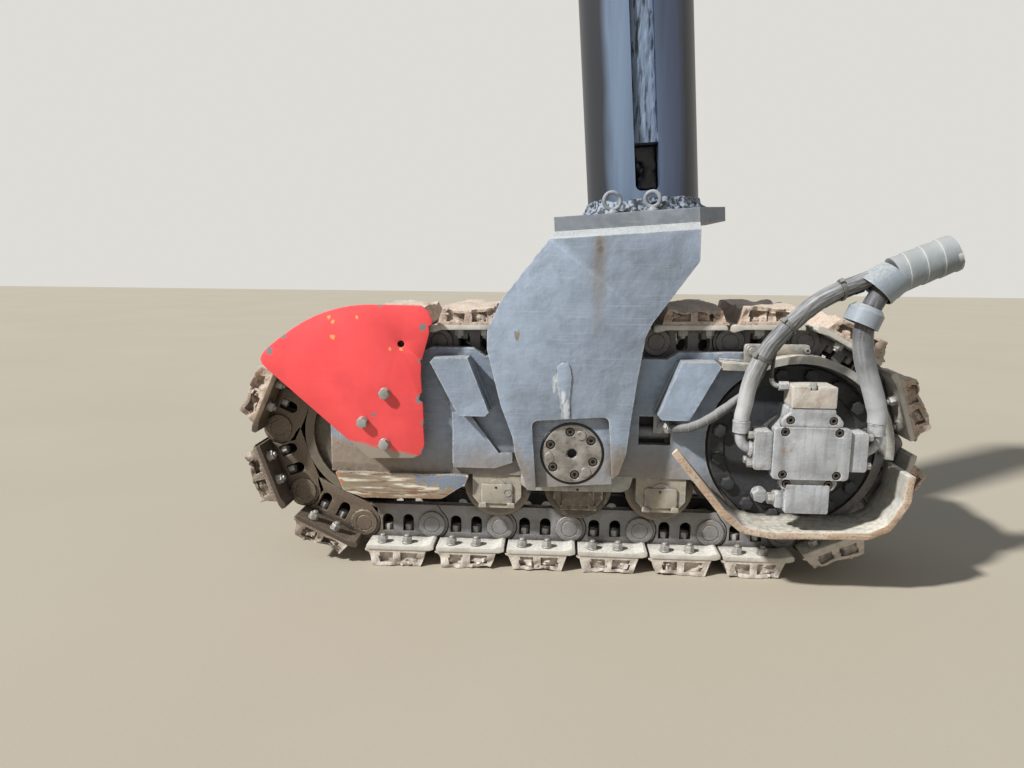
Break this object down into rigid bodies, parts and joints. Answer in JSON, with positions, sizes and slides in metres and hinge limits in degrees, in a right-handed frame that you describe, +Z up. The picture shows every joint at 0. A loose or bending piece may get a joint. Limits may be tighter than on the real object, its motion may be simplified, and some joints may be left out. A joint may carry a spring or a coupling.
{
  "type": "crawler track unit",
  "caption": "Crawler track unit of a road milling machine with its drive motor and guards, under a rocking yoke and a hollow lifting column.",
  "frame": {"origin": "on the ground, straight below the rocking pivot, in the middle of the track", "axes": "+Z up, +X along the track from the idler to the drive sprocket, -Y towards the drive motor"},
  "size_m": [1.6207, 0.498, 1.87],
  "materials": {
    "chain_steel": "dusty worn",
    "frame_paint": "satin",
    "head_paint": "satin",
    "wheel_steel": "satin",
    "dark_housing": "satin",
    "guard_red": "satin",
    "worn_rust": "rough",
    "motor_paint": "matte",
    "fitting_steel": "satin",
    "column_steel": "greased",
    "cap_steel": "worn",
    "hose_sleeve": "dusty",
    "hose_rubber": "matte",
    "boot_rubber": "matte",
    "wrap_sleeve": "dusty"
  },
  "bodies": {
    "crawler": {"track": "chain_steel", "track_frame": "frame_paint", "idler": "wheel_steel", "idler_carriage": "wheel_steel", "roller_1": "wheel_steel", "roller_2": "wheel_steel", "roller_3": "wheel_steel", "roller_shaft_1": "frame_paint", "roller_shaft_2": "frame_paint", "roller_shaft_3": "frame_paint", "sprocket": "chain_steel", "final_drive": "dark_housing", "front_guard": "guard_red", "front_skid_near": "worn_rust", "front_skid_far": "worn_rust", "stop_front_near": "frame_paint", "stop_rear_near": "frame_paint", "stop_front_far": "frame_paint", "stop_rear_far": "frame_paint", "arch_guard": "frame_paint", "lower_guard": "frame_paint", "clamp_bracket": "frame_paint", "motor_body": "motor_paint", "motor_cover": "motor_paint", "port_flange_left": "motor_paint", "port_flange_right": "motor_paint", "elbow_left": "fitting_steel", "elbow_right": "fitting_steel", "drain_gland": "fitting_steel", "case_fitting": "fitting_steel", "hose_left": "hose_sleeve", "hose_right": "hose_sleeve", "hose_drain": "hose_sleeve", "hose_case": "hose_rubber", "hose_cap": "boot_rubber", "sleeve_boot": "boot_rubber", "sleeve_end": "wrap_sleeve"},
    "leg": {"column": "column_steel", "head_plate": "head_paint", "cheek_near": "frame_paint", "cheek_far": "frame_paint", "yoke_web_front": "frame_paint", "yoke_web_rear": "frame_paint", "bearing_block_near": "frame_paint", "bearing_block_far": "frame_paint", "pivot_pin_near": "column_steel", "pivot_pin_far": "column_steel", "pin_cap_near": "cap_steel", "pin_cap_far": "cap_steel"}
  },
  "joints": [
    {"name": "leg_rock", "type": "hinge", "parent": "crawler", "child": "leg", "pos_m": [0, 0, 0.305], "axis": [0, -1, 0], "range_deg": [-16.2, 7.8]}
  ]
}
